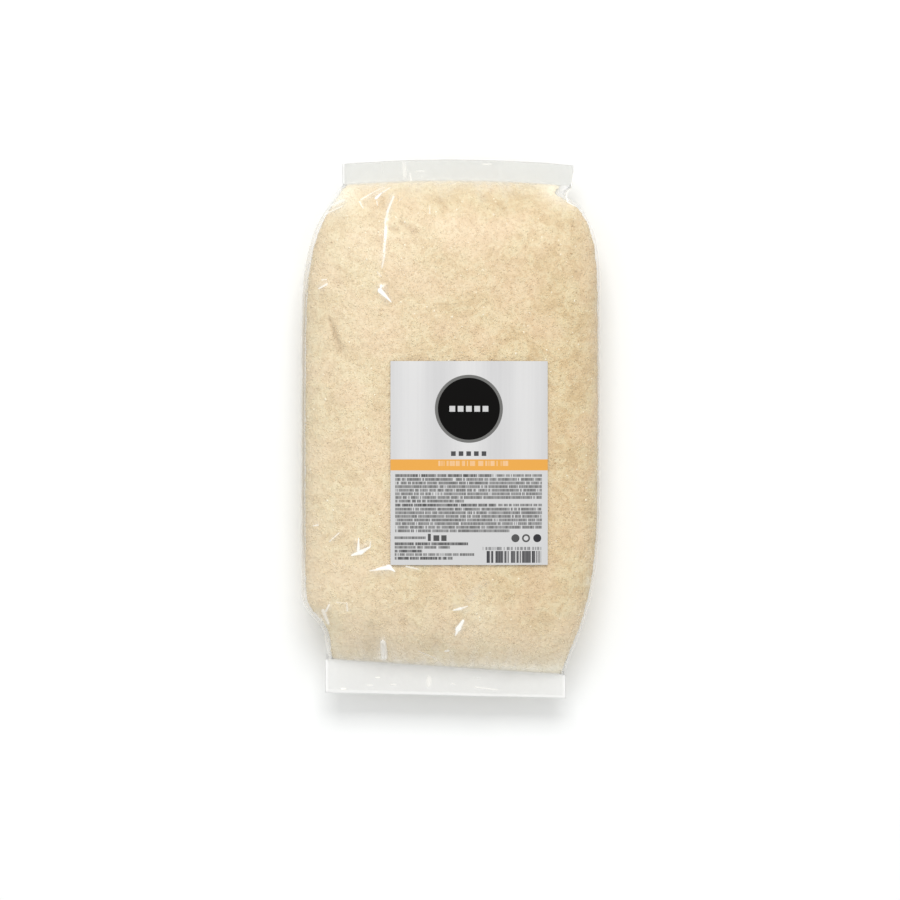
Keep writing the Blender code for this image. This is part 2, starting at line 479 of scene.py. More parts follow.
GLINT_ROWS = (
    ((-27.1, 110.4), (-29.8, 102.8), 0.72, 0.78, 0.62),
    ((-29.7, 102.6), (-30.9, 97.4), 0.78, 0.72, 0.52),
    ((-30.9, 97.4), (-30.6, 90.8), 0.66, 0.66, 0.42),
    ((-30.6, 90.8), (-31.2, 80.9), 0.66, 0.60, 0.42),
    ((-31.2, 80.9), (-32.3, 75.7), 0.66, 0.45, 0.46),
    ((-33.0, 64.8), (-27.8, 59.4), 1.51, 0.28, 0.95),
    ((-32.5, 67.9), (-33.2, 64.8), 0.19, 1.04, 0.90),
    ((-28.7, 115.3), (-32.5, 112.6), 0.33, 0.42, 0.60),
    ((-33.2, 112.0), (-35.3, 109.8), 0.61, 0.94, 0.90),
    ((-32.0, 115.6), (-37.2, 112.7), 0.24, 0.30, 0.45),
    ((-37.2, 112.7), (-42.7, 108.9), 0.33, 0.45, 0.60),
    ((-43.1, 107.8), (-41.4, 104.5), 0.57, 0.30, 0.60),
    ((-35.0, 108.2), (-34.7, 106.0), 0.40, 0.30, 0.50),
    ((-57.0, 106.3), (-51.3, 108.7), 0.70, 1.00, 0.45),
    ((-51.3, 106.1), (-59.9, 102.0), 0.50, 0.60, 0.40),
    ((-62.3, 66.2), (-58.6, 68.1), 0.42, 0.76, 0.65),
    ((-60.9, 70.3), (-58.6, 70.5), 0.40, 0.40, 0.45),
    ((-34.5, 73.6), (-33.0, 71.9), 0.50, 0.70, 0.30),
    ((-24.6, 108.0), (-22.8, 109.6), 0.25, 0.25, 0.30),
    ((-9.8, 106.0), (-9.8, 101.8), 0.25, 0.45, 0.35),
    ((-46.5, -59.8), (-42.2, -58.3), 0.47, 1.51, 0.92),
    ((-42.2, -58.3), (-38.0, -56.0), 1.42, 0.57, 0.85),
    ((-43.4, -57.4), (-43.2, -51.7), 1.04, 0.33, 0.80),
    ((-38.0, -56.0), (-37.5, -53.2), 0.47, 0.24, 0.60),
    ((-38.0, -67.1), (-34.7, -66.6), 0.28, 0.61, 0.60),
    ((-34.7, -66.4), (-29.0, -65.4), 0.71, 1.60, 0.85),
    ((-29.0, -65.4), (-26.2, -67.3), 1.42, 0.38, 0.90),
    ((-57.3, -53.6), (-52.6, -49.4), 0.30, 0.45, 0.50),
    ((-65.1, -46.2), (-62.7, -45.7), 0.28, 0.52, 0.55),
    ((1.2, -85.7), (4.5, -85.0), 0.28, 0.94, 0.80),
    ((4.5, -85.0), (8.3, -83.8), 0.80, 0.28, 0.55),
    ((5.9, -90.9), (3.6, -94.7), 0.85, 1.56, 0.95),
    ((3.6, -94.7), (2.4, -98.0), 1.42, 0.28, 0.85),
    ((-58.8, -86.3), (-57.4, -83.5), 0.76, 0.57, 0.55),
    ((-60.2, -86.6), (-58.0, -92.4), 1.30, 0.90, 0.55),
    ((-20.8, -65.0), (-15.0, -66.3), 0.55, 0.35, 0.55),
    ((-48.9, -82.5), (-48.7, -86.3), 0.47, 0.47, 0.40),
    ((-54.0, -82.2), (-49.6, -82.5), 0.35, 0.35, 0.30),
    ((-32.0, -101.9), (-31.6, -109.0), 1.80, 2.00, 0.72),
    ((-2.1, -105.8), (-1.1, -105.6), 0.76, 0.76, 0.55),
    ((-15.3, -105.8), (-7.0, -109.8), 0.35, 0.40, 0.40),
    ((59.4, 123.5), (58.2, 116.3), 0.42, 0.45, 0.90),
    ((58.0, 115.8), (55.8, 113.4), 0.45, 0.52, 0.90),
    ((55.7, 113.2), (56.0, 108.8), 0.52, 0.61, 0.90),
    ((55.9, 108.2), (59.2, 106.2), 0.52, 0.33, 0.70),
    ((-22.4, 127.6), (-21.8, 121.6), 1.30, 1.50, 0.28),
    ((-32.6, 127.8), (-32.6, 123.0), 0.25, 0.25, 0.30),
    ((-16.4, 123.8), (-12.6, 123.8), 0.40, 0.40, 0.45),
    ((-19.4, 122.4), (-19.0, 119.8), 0.70, 0.70, 0.45),
    ((-14.2, 121.2), (-13.6, 121.2), 0.45, 0.45, 0.40),
    ((15.6, 127.2), (19.4, 127.2), 0.50, 0.50, 0.40),
    ((-35.8, -119.6), (-34.4, -119.6), 0.50, 0.50, 0.70),
    ((-52.0, -125.0), (-50.6, -125.0), 0.80, 0.60, 0.80),
    ((-40.0, -123.3), (-37.6, -123.3), 0.40, 0.40, 0.50),
    ((-28.6, -123.0), (-26.2, -123.0), 0.45, 0.45, 0.50),
    ((-10.4, -120.4), (-10.4, -123.2), 1.60, 1.40, 0.35),
    ((0.6, -122.6), (1.6, -122.8), 0.50, 0.50, 0.40),
    ((11.8, -124.2), (22.8, -125.6), 0.40, 0.40, 0.45),
    ((12.0, -119.8), (14.0, -119.8), 0.30, 0.30, 0.35),
)
GLINTS = tuple(Glint(*row) for row in GLINT_ROWS)
GLINT_STEPS = 14
GLINT_SHARES = (-1.0, -0.78, -0.42, 0.0, 0.42, 0.78, 1.0)  # where a glint's points lie across it


class Hollow(NamedTuple):
    """A dent where the film presses into the sugar, in millimetres: its reach goes from first to last."""

    start: tuple
    end: tuple
    first: float
    last: float
    depth: float


# dents in the sugar under the film; their colour is darkened too, as painted shade
HOLLOWS = (
    Hollow((-32.3, 109.6), (-32.3, 105.6), 1.1, 1.4, 0.6),
    Hollow((-57.3, 51.6), (-52.4, 37.0), 0.7, 1.9, 1.1),
    Hollow((-37.6, -94.5), (-38.6, -107.8), 3.8, 4.2, 0.7),
    Hollow((-28.5, 94.6), (-25.2, 94.1), 1.2, 1.2, 0.8),
    Hollow((-23.3, 97.4), (-17.2, 92.7), 1.2, 1.6, 0.8),
    Hollow((23.4, 106.1), (26.7, 102.8), 1.2, 1.2, 0.6),
    Hollow((-29.9, 67.2), (-28.0, 65.8), 0.8, 0.8, 0.5),
    Hollow((-4.9, 108.5), (-2.6, 105.2), 1.2, 1.6, 0.4),
    Hollow((-7.8, -100.0), (-5.9, -103.8), 1.8, 1.8, 0.5),
    Hollow((-22.9, -91.4), (-21.9, -93.7), 1.6, 1.2, 0.5),
    Hollow((40.3, -111.3), (43.2, -114.1), 1.6, 1.2, 0.5),
)


def along_and_across(x, y, mark):
    """Distance along a mark's line and square to it, and the line's length."""
    start, end = np.array(mark.start) * MM, np.array(mark.end) * MM
    length = np.linalg.norm(end - start)
    way = (end - start) / length
    along = (x - start[0]) * way[0] + (y - start[1]) * way[1]
    return along, (y - start[1]) * way[0] - (x - start[0]) * way[1], length


def hollow_depth(x, y):
    """The deepest dent at each point: a bell curve of the distance to the mark's line."""
    deepest = np.zeros(x.shape)
    for mark in HOLLOWS:
        along, across, length = along_and_across(x, y, mark)
        share = np.clip(along / length, 0.0, 1.0)
        reach = (mark.first + share * (mark.last - mark.first)) * MM
        away = np.hypot(across, along - share * length)
        deepest = np.maximum(deepest, mark.depth * MM * bell(away, reach))
    return deepest


def seal_pleats(end, count, seed, reach=22.0):
    """Random pleats that run inwards from a seal and lean outwards the nearer they are to a side."""
    random = np.random.default_rng(seed)
    across = (np.arange(count) + random.uniform(0.15, 0.85, count)) / count * 2.0 - 1.0
    starts = across * (end.half_width / MM - 3.0)
    leans = 0.55 * across + random.normal(0.0, 0.22, count)
    lengths = reach * random.uniform(0.25, 1.0, count) ** 1.5
    widths = random.uniform(1.1, 2.2, count)
    heights = random.uniform(0.18, 0.50, count)
    line = end.towards * (end.line / MM + 1.5)
    return tuple(
        Crease((start, line), (start + lean * length, line - end.towards * length), width, width, height)
        for start, lean, length, width, height in zip(starts, leans, lengths, widths, heights)
    )


TOP_PLEATS = seal_pleats(TOP, 26, seed=3, reach=16.0)
BOTTOM_PLEATS = seal_pleats(BOTTOM, 30, seed=4, reach=22.0)
BACK_PLEATS = seal_pleats(TOP, 24, seed=5) + seal_pleats(BOTTOM, 24, seed=6)
LAP_SEAM_HALF_WIDTH = 5.0 * MM  # the band down the back where the film's two edges overlap
LAP_SEAM_DEPTH = 0.25 * MM


def outside_label(x, y):
    """0 on the label's place, rising to 1 at 2 mm or more outside it."""
    centre, half = (LABEL_LOW + LABEL_HIGH) / 2, (LABEL_HIGH - LABEL_LOW) / 2
    beyond = np.maximum(np.abs(x - centre[0]) - half[0], np.abs(y - centre[1]) - half[1])
    return np.clip(beyond / (2.0 * MM), 0.0, 1.0)


def in_seal(y):
    """1 within either seal, and 0 between them."""
    return np.clip(1.0 - end_room(y) / (0.6 * MM), 0.0, 1.0)


def rim_distance(y, x):
    """Distance to the nearest side of a seal, or to the bottom one's cut edge."""
    sides = [end.half_width - np.abs(x - end.off_centre) for end in ENDS]
    nearest = np.where(y > 0, sides[0], np.minimum(sides[1], y + BOTTOM.edge))
    return np.maximum(0.0, nearest)


SEAL_HAZE = 0.50  # of each of a seal's two layers


def end_wave(x, y, room):
    """Slow bends up and down across each seal, which fade out into the body."""
    return 0.45 * MM * ripples(x * 1.4, y * 0.3, 30 * MM, seed=9) * np.exp(-room / (9 * MM))


def fading_by_seal(room):
    """0 at a seal line, rising to 1 at 3.5 mm from it."""
    return np.clip(room / (3.5 * MM), 0.0, 1.0)


def build_film(material):
    """The film: the bag's form, moved along its normals by creases, pleats, ripples and a lap seam."""
    grid, y_of_row = layer_grid(FILM)
    normals = normals_of(grid)
    x, y = grid[..., 0], grid[..., 1]
    row = np.broadcast_to(y_of_row[:, None], x.shape)
    front = np.broadcast_to(np.arange(grid.shape[1]) <= FILM.front_columns, x.shape)
    free = outside_label(x, y)
    room = end_room(row)

    marks = crease_height(x, y, FRONT_CREASES) * free
    pleats = np.where(
        front,
        crease_height(x, y, TOP_PLEATS + BOTTOM_PLEATS),
        crease_height(x, y, BACK_PLEATS),
    )
    soft = 0.10 * MM * (1.0 + ripples(x, y, 13 * MM, seed=8)) * np.where(front, free, 0.3)
    seam = np.clip((np.abs(x) - LAP_SEAM_HALF_WIDTH) / (0.8 * MM), 0.0, 1.0)
    lap = np.where(front, 0.0, -LAP_SEAM_DEPTH * seam * np.clip(room / (8 * MM), 0.0, 1.0))
    body = 1.0 - in_seal(row)
    out = (np.maximum(marks, pleats) + soft) * fading_by_seal(room) * body + lap
    grid = grid + normals * out[..., None]

    grid[..., 2] = np.maximum(0.0, grid[..., 2] + end_wave(x, y, room))
    mesh = tube_mesh("film_bag", grid, FILM.front_columns)

    ear = bell(np.hypot(x + 55 * MM, y - 107 * MM), 5 * MM)
    empty = 0.20 * bell(np.hypot(x + 57 * MM, y - 111 * MM), 4.5 * MM)
    empty = empty + 0.55 * bell(np.hypot(x - 57 * MM, y - 113.5 * MM), 4.5 * MM)
    creased = np.clip(np.maximum(marks, 0.6 * pleats) / (0.5 * MM), 0.0, 1.0)
    # milky where the film lies double at the side folds, and made white there as a painted highlight of the
    # outline
    width = np.where(x > 0, half_width(row, 1), half_width(row, -1))
    folded = bell(width - np.abs(x), np.where(x > 0, 0.8, 1.6) * MM)
    folded = folded * bell(grid[..., 2] - WIDEST_AT, 8 * MM)
    # whiter along the seals' rims: a painted highlight of their cut edges
    rim = bell(rim_distance(row, x), 1.0 * MM) * in_seal(row)
    by_seal = np.exp(-room / (1.2 * MM))
    haze = 0.015 + 0.25 * by_seal + 0.12 * ear + empty + 0.06 * creased + 0.85 * folded
    haze = np.maximum(haze, SEAL_HAZE * in_seal(row) + 0.45 * rim)
    set_attribute(mesh, "haze", np.minimum(0.95, haze))
    set_attribute(mesh, "gloss", np.clip(np.maximum(creased, 0.25 * in_seal(row)) + 0.8 * ear, 0.0, 1.0))
    # the seals' milky grey, much less of it on the bottom seal: painted light against the shade the body
    # casts there
    greyer = np.where(row > 0, 0.90, 0.25) * in_seal(row)
    set_attribute(mesh, "seal", greyer * (1.0 - rim))
    piece("film_bag", mesh, material, "bag")


def build_glints(material):
    """Painted highlights as ribbons over the film: a band with round ends whose width goes evenly from
    first to last.

    Each is closed, and stands higher along its middle. Its cover fades out to both sides.
    """
    steps = np.linspace(0.0, 1.0, GLINT_STEPS)
    across = np.array(GLINT_SHARES + GLINT_SHARES[-2:0:-1])
    upper = np.arange(len(across)) < len(GLINT_SHARES)
    grids, covers = [], []
    for glint in GLINTS:
        start, end = np.array(glint.start), np.array(glint.end)
        length = np.linalg.norm(end - start)
        way = (end - start) / length
        place = -glint.first + steps * (length + glint.first + glint.last)
        even = np.clip(place / length, 0.0, 1.0)
        widest = glint.first + even * (glint.last - glint.first)
        beyond = (place - even * length) / widest
        half = widest * np.sqrt(np.maximum(0.004, 1.0 - beyond**2))
        x = (start[0] + place * way[0])[:, None] + (half * way[1])[:, None] * across
        y = (start[1] + place * way[1])[:, None] - (half * way[0])[:, None] * across
        lift = np.where(upper, 0.28 + 0.12 * (1.0 - across**2), 0.22) * MM
        x, y = x * MM, y * MM
        row = y - plan_shift(x, y)
        room = end_room(row)
        relief = crease_height(x, y, FRONT_CREASES + TOP_PLEATS + BOTTOM_PLEATS) * fading_by_seal(room)
        film = FILM.end_thickness / 2 * np.exp(-room / (4 * MM)) + end_wave(x, y, room) + 0.7 * relief
        grids.append(np.stack([x, y, front_height(x, row) + film + lift], axis=2))
        cover = np.clip(1.3 * (1.0 - across**2), 0.0, 1.0) * upper
        covers.append(np.broadcast_to(glint.white * cover, x.shape))
    mesh = tube_mesh("film_glints", np.array(grids), len(GLINT_SHARES) - 1)
    set_attribute(mesh, "cover", np.array(covers))
    # the painted highlights cast no shadow
    piece("film_glints", mesh, material, "bag").visible_shadow = False


def painted_lightness(x, y):
    """Painted light and painted sheen of the film on the sugar: by the top seal, in its corners, and to the
    left, most of all, and also by the bottom seal, along the right side and in one patch low down.
    """
    side = np.clip(0.5 - x / (2 * BODY_HALF_WIDTH), 0.0, 1.0) ** 1.5
    top, bottom = inwards(TOP, y), inwards(BOTTOM, y)
    by_seals = 0.22 * np.exp(-top / (12 * MM)) + 0.55 * np.exp(-top / (2.5 * MM))
    by_seals = by_seals + 0.38 * np.exp(-bottom / (22 * MM)) + 0.55 * np.exp(-bottom / (3 * MM))
    by_right = 0.18 * np.exp(-np.maximum(0.0, half_width(y, 1) - x) / (8 * MM))
    left_corner = bell(np.hypot(x + 54 * MM, y - 112 * MM), 8 * MM)
    right_corner = bell(np.hypot(x - 54 * MM, y - 116 * MM), 9 * MM)
    clouded = bell(x - 13 * MM, 9 * MM) * bell(y + 88 * MM, 12 * MM)
    corners = 0.6 * left_corner + 0.9 * right_corner
    return np.clip(0.34 * side + by_seals + by_right + corners + 0.20 * clouded, 0.0, 1.0)


def set_shades(mesh, places, on_front, repeats=1):
    """Stores the painted light on the sugar and how pressed in it is at each place, for each of its points.
    """
    x, y = places[..., 0], places[..., 1]
    set_attribute(mesh, "pale", np.repeat(painted_lightness(x, y), repeats))
    set_attribute(mesh, "dip", np.repeat(np.where(on_front, hollow_depth(x, y) / MM, 0.0), repeats))


def sugar_surface():
    """The sugar's body, as a grid and its normals: lumps, settled hollows, and relief of its grains."""
    grid, y_of_row = layer_grid(SUGAR)
    normals = normals_of(grid)
    x, y = grid[..., 0], grid[..., 1]
    lumps = 0.16 * MM * ripples(x, y, 9 * MM, seed=21, waves=22)
    grains = 0.06 * MM * np.random.default_rng(22).uniform(-1.0, 1.0, x.shape)
    ends = np.ones(len(grid))
    ends[[0, -1]] = 0.0
    on_front = np.arange(grid.shape[1]) <= SUGAR.front_columns
    dents = np.where(on_front, hollow_depth(x, y), 0.0)
    grid = grid + normals * ((lumps + grains - dents) * ends[:, None])[..., None]
    wave = end_wave(x, y, end_room(y_of_row)[:, None])
    grid[..., 2] = np.maximum(0.35 * MM, grid[..., 2] + wave)
    return grid, normals


# ------------------------------------------------------------------ loose crystals

CRYSTAL_CORNERS = np.array([(x, y, z) for x in (-1, 1) for y in (-1, 1) for z in (-1, 1)], float)
CRYSTAL_FACES = np.array(
    [(0, 1, 3, 2), (4, 6, 7, 5), (0, 4, 5, 1), (2, 3, 7, 6), (0, 2, 6, 4), (1, 5, 7, 3)]
)
CRYSTAL_LEAN = 0.23  # sugar's crystals are slanting prisms
CRYSTAL_DEPTHS = (-0.44, -0.22)  # of their centres over the sugar's surface, in millimetres
FRONT_SHARE = 0.80  # of the crystals, how many lie on the front


def turned_at_random(random, count):
    """count rotation matrices from random unit quaternions."""
    q = random.normal(size=(count, 4))
    w, x, y, z = (q / np.linalg.norm(q, axis=1, keepdims=True)).T
    rows = [
        [1 - 2 * (y * y + z * z), 2 * (x * y - z * w), 2 * (x * z + y * w)],
        [2 * (x * y + z * w), 1 - 2 * (x * x + z * z), 2 * (y * z - x * w)],
        [2 * (x * z - y * w), 2 * (y * z + x * w), 1 - 2 * (x * x + y * y)],
    ]
    return np.array(rows).transpose(2, 0, 1)


def build_crystals(name, surface, count, half_length, seed, material):
    """Loose crystals on the sugar: slanting prisms, turned at random, at random places on its grid."""
    grid, normals = surface
    random = np.random.default_rng(seed)
    on_front = random.uniform(size=count) < FRONT_SHARE
    row = random.uniform(2.0, SUGAR.rows - 3.0, count)
    column = np.where(
        on_front,
        random.uniform(0.0, SUGAR.front_columns, count),
        SUGAR.front_columns + random.uniform(0.0, SUGAR.back_columns, count),
    )
    whole_row, whole_column = row.astype(int), column.astype(int)
    part_row, part_column = (row - whole_row)[:, None], (column - whole_column)[:, None]
    after = (whole_column + 1) % grid.shape[1]
    lower = grid[whole_row, whole_column] * (1 - part_column) + grid[whole_row, after] * part_column
    upper = grid[whole_row + 1, whole_column] * (1 - part_column) + grid[whole_row + 1, after] * part_column
    outward = normals[whole_row, whole_column]
    depth = random.uniform(*CRYSTAL_DEPTHS, (count, 1)) * MM
    places = lower * (1 - part_row) + upper * part_row + outward * depth

    halves = half_length * random.uniform(0.75, 1.0, (count, 1)) * np.stack(
        [np.ones(count), random.uniform(0.65, 0.9, count), random.uniform(0.5, 0.75, count)], axis=1
    )
    corners = CRYSTAL_CORNERS[None] * halves[:, None, :]
    corners[..., 0] += CRYSTAL_LEAN * corners[..., 2]
    corners = np.einsum("nij,nkj->nki", turned_at_random(random, count), corners) + places[:, None, :]
    corners[..., 2] = np.maximum(0.1 * MM, corners[..., 2])
    faces = CRYSTAL_FACES[None] + 8 * np.arange(count)[:, None, None]
    mesh = mesh_from(name, corners.reshape(-1, 3), faces.reshape(-1, 4))
    set_shades(mesh, places, on_front, repeats=8)
    piece(name, mesh, material, "bag")


# ------------------------------------------------------------------ the label's sheet


def build_label(material):
    """The label: a thin sheet over the bag's front, with slight waves, closed round its rim.

    Each row runs from right to left on the upper side, and back on the lower side.
    """
    rows, columns, under_columns = 128, 100, 50
    y = np.linspace(LABEL_LOW[1], LABEL_HIGH[1], rows)[:, None]
    over = np.broadcast_to(np.linspace(LABEL_HIGH[0], LABEL_LOW[0], columns + 1), (rows, columns + 1))
    under = np.broadcast_to(
        np.linspace(LABEL_LOW[0], LABEL_HIGH[0], under_columns + 1)[1:-1], (rows, under_columns - 1)
    )
    x = np.concatenate([over, under], axis=1)
    lift = np.where(np.arange(x.shape[1]) <= columns, 0.42 * MM, 0.24 * MM)
    waves = 0.05 * MM * ripples(x, y, 24 * MM, seed=31)
    z = front_height(x, y) + lift + waves
    grid = np.stack([x, np.broadcast_to(y, x.shape), z], axis=2)
    mesh = tube_mesh("label_sheet", grid, columns)
    mesh.set_sharp_from_angle(angle=math.radians(40))
    piece("label_sheet", mesh, material, "label")


# ------------------------------------------------------------------ shader maths


class Value:
    """A number in a material: an operator on it adds a Math node and gives that node's result."""

    def __init__(self, surface, socket):
        self.surface = surface
        self.socket = socket

    def __add__(self, other):
        return self.surface.maths("ADD", self, other)

    def __sub__(self, other):
        return self.surface.maths("SUBTRACT", self, other)

    def __rsub__(self, other):
        return self.surface.maths("SUBTRACT", other, self)

    def __mul__(self, other):
        return self.surface.maths("MULTIPLY", self, other)

    def __truediv__(self, other):
        return self.surface.maths("DIVIDE", self, other)

    def __pow__(self, other):
        return self.surface.maths("POWER", self, other)

    def __gt__(self, other):
        return self.surface.maths("GREATER_THAN", self, other)

    def __lt__(self, other):
        return self.surface.maths("LESS_THAN", self, other)

    __radd__ = __add__


class Surface:
    """A material being made. Its node method adds any node and gives one of its outputs."""

    def __init__(self, name):
        self.material = bpy.data.materials.new(name)
        self.material.use_nodes = True
        self.tree = self.material.node_tree
        self.tree.nodes.clear()

    def node(self, kind, settings, inputs, output=0):
        made = self.tree.nodes.new("ShaderNode" + kind)
        for setting, value in settings.items():
            setattr(made, setting, value)
        for place, value in inputs.items():
            if isinstance(value, Value):
                self.tree.links.new(value.socket, made.inputs[place])
            else:
                made.inputs[place].default_value = value
        return Value(self, made.outputs[output])

    def maths(self, operation, *values, clamped=False):
        return self.node("Math", {"operation": operation, "use_clamp": clamped}, dict(enumerate(values)))

    def place(self):
        """The three object coordinates, in metres, and the whole vector."""
        vector = self.node("TexCoord", {}, {}, "Object")
        return [self.node("SeparateXYZ", {}, {0: vector}, axis) for axis in range(3)] + [vector]

    def attribute(self, name):
        return self.node("Attribute", {"attribute_name": name}, {}, "Fac")

    def ramp(self, value, low, high):
        """0 at the low value, 1 at the high one, and straight between them."""
        bounds = {"Value": value, "From Min": low, "From Max": high}
        return self.node("MapRange", {"clamp": True}, bounds)

    def mix(self, share, first, second):
        """A colour that goes from the first to the second as share goes from 0 to 1."""
        return self.node("Mix", {"data_type": "RGBA"}, {0: share, 6: first, 7: second}, 2)

    def noise(self, vector, scale, detail=2.0, curl=0.0):
        inputs = {"Vector": vector, "Scale": scale, "Detail": detail, "Distortion": curl}
        return self.node("TexNoise", {}, inputs, "Fac")

    def bump(self, height, distance, strength=1.0):
        return self.node("Bump", {}, {"Height": height, "Distance": distance, "Strength": strength})

    def principled(self, inputs):
        return self.node("BsdfPrincipled", {}, inputs)

    def over_clear(self, cover, shader, tone=1.0):
        """The shader where cover is 1. Where it is 0, what lies behind shows, times tone."""
        clear = self.node("BsdfTransparent", {}, {"Color": (tone, tone, tone, 1.0)})
        return self.node("MixShader", {}, {0: cover, 1: clear, 2: shader})

    def finish(self, shader):
        out = self.tree.nodes.new("ShaderNodeOutputMaterial")
        self.tree.links.new(shader.socket, out.inputs["Surface"])
        return self.material


def colour(red, green, blue):
    """A colour from three numbers on the usual 0 to 255 scale, made linear."""
    shares = [part / 255.0 for part in (red, green, blue)]
    curve = [s / 12.92 if s <= 0.04045 else ((s + 0.055) / 1.055) ** 2.4 for s in shares]
    return (*curve, 1.0)


# ------------------------------------------------------------------ materials

FILM_REFLECTION = 1.2  # of a single surface's mirroring: light meets both faces of the film
FOLD_REFLECTION = 3.2  # more of it where the film lies folded over itself


def film_material():
    """Clear film: it mirrors by its angle, and is milky by its haze, as at the seals and creases."""
    film = Surface("clear_film")
    haze, gloss, seal = (film.attribute(name) for name in ("haze", "gloss", "seal"))
    *_, vector = film.place()
    slant = film.node("LayerWeight", {}, {"Blend": 0.5}, "Facing")
    mirror = (slant**5 * 0.96 + 0.04) * (gloss * FOLD_REFLECTION + FILM_REFLECTION) * (1 - seal)
    clear = (1 - film.maths("MINIMUM", mirror, 0.9)) * (1 - haze)
    dimples = film.noise(vector, 700.0) * 0.4 + film.noise(vector, 160.0)
    covered = film.principled(
        {
            "Base Color": film.mix(seal, (0.96, 0.96, 0.95, 1.0), (0.70, 0.705, 0.675, 1.0)),
            "Metallic": film.maths("DIVIDE", mirror, mirror + haze, clamped=True),
            "Roughness": 0.50 - gloss * 0.34,
            "Specular IOR Level": 0.0,
            "Normal": film.bump(dimples, 0.00025, 0.6),
        }
    )
    return film.finish(film.over_clear(1 - clear, covered, 0.995))


# colour of the painted highlights
GLINT_PAINT_WHITE = (0.97, 0.955, 0.905, 1.0)
GRAIN_SCALE = 1150.0
PATCH_SCALE, CLUMP_SCALE, ROSY_SCALE = 85.0, 200.0, 48.0
CLUMP_CURL = 1.2
# painted shade: the sugar is drawn darker and browner in the dents, by DIP_SHADE at a dent of 1 mm
DENT_PAINTED_SHADE = colour(190, 158, 108)
DIP_SHADE = 0.85  # at a hollow of 1 mm
# the colour of the painted light on the sugar
SUGAR_PAINTED_LIGHT = colour(253, 245, 222)
SUGAR_ROSY = colour(227, 197, 159)
SUGAR_PALE = colour(222, 204, 162)
SUGAR_GOLDEN = colour(216, 191, 145)
SUGAR_AMBER = colour(203, 175, 126)


def glint_material():
    """Painted highlight on the film: white by its cover, and glossy."""
    fold = Surface("painted_glint_film")
    white = fold.principled({"Base Color": GLINT_PAINT_WHITE, "Roughness": 0.25})
    return fold.finish(fold.over_clear(fold.attribute("cover"), white))


def settled(surface, vector):
    """How dense the sugar lies: broad patches, and curled clumps in them."""
    patches = surface.noise(vector, PATCH_SCALE, 3.0)
    clumps = surface.noise(vector, CLUMP_SCALE, 3.0, CLUMP_CURL)
    return surface.ramp(patches * 0.35 + clumps * 0.65, 0.42, 0.58)


def tinted_with_painted_light_and_shade(surface, vector, plain):
    """A plain colour made rosy in places, with painted shade browner in the hollows, and painted light
    where it is pale.
    """
    rosy_share = surface.ramp(surface.noise(vector, ROSY_SCALE, 3.0), 0.42, 0.60) * 0.45
    rosy = surface.mix(rosy_share, plain, SUGAR_ROSY)
    dipped = surface.mix(surface.attribute("dip") * DIP_SHADE, rosy, DENT_PAINTED_SHADE)
    return surface.mix(surface.attribute("pale"), dipped, SUGAR_PAINTED_LIGHT)


def sugar_material():
    """Packed sugar: each grain has a shade of its own, on broad patches that settled denser."""
    sugar = Surface("packed_sugar")
    *_, vector = sugar.place()
    cells = {"Vector": vector, "Scale": GRAIN_SCALE}
    grain = sugar.node("TexVoronoi", {}, cells, "Color")
    centre = sugar.node("TexVoronoi", {}, cells, "Position")
    shade = sugar.node("SeparateColor", {}, {0: grain}, 0)
    from_centre = sugar.node("VectorMath", {"operation": "SUBTRACT"}, {0: vector, 1: centre})
    tilt = sugar.node("VectorMath", {"operation": "SUBTRACT"}, {0: grain, 1: (0.5, 0.5, 0.5)})
    facet = sugar.node("VectorMath", {"operation": "DOT_PRODUCT"}, {0: from_centre, 1: tilt}, "Value")
    tone = shade * 0.20 + settled(sugar, vector) * 0.8
    pale = sugar.mix(sugar.ramp(tone, 0.10, 0.62), SUGAR_PALE, SUGAR_GOLDEN)
    grained = sugar.mix(sugar.ramp(tone, 0.66, 0.98), pale, SUGAR_AMBER)
    packed = sugar.principled(
        {
            "Base Color": tinted_with_painted_light_and_shade(sugar, vector, grained),
            "Roughness": 0.42 + shade * 0.25,
            "Normal": sugar.bump(facet, 1.0, 0.45),
        }
    )
    return sugar.finish(packed)


def crystal_material(name, light, deep, roughness):
    """One kind of crystal: its shade drifts a little from place to place."""
    crystal = Surface(name)
    *_, vector = crystal.place()
    tint = crystal.mix(settled(crystal, vector), light, deep)
    glassy = crystal.principled(
        {
            "Base Color": tinted_with_painted_light_and_shade(crystal, vector, tint),
            "Roughness": roughness,
            "Specular IOR Level": 0.35,
        }
    )
    return crystal.finish(glassy)


LABEL_WHITE = (0.590, 0.590, 0.590, 1.0)
LABEL_ORANGE = colour(223, 162, 77)
PRINT_BLACK = (0.003, 0.0027, 0.0025, 1.0)
PRINT_GREY = (0.150, 0.150, 0.148, 1.0)
CUBES = (29.1, 33.0, 36.9, 40.8, 44.7)  # the middles of the emblem's row of light squares
ORNAMENTS = (29.6, 33.2, 36.8, 40.4, 44.0)  # and of the dark squares below the emblem
EMBLEM = (36.9, 73.5)
BAR_PITCH = 0.52
SILVER_BAND_PITCH = 26.8  # millimetres from one bright band of the silver field to the next
SILVER_BAND_FIRST = 10.0
ROW_PITCH = 1.70
DASH = 0.48  # width of one cell of a text-like row, in millimetres


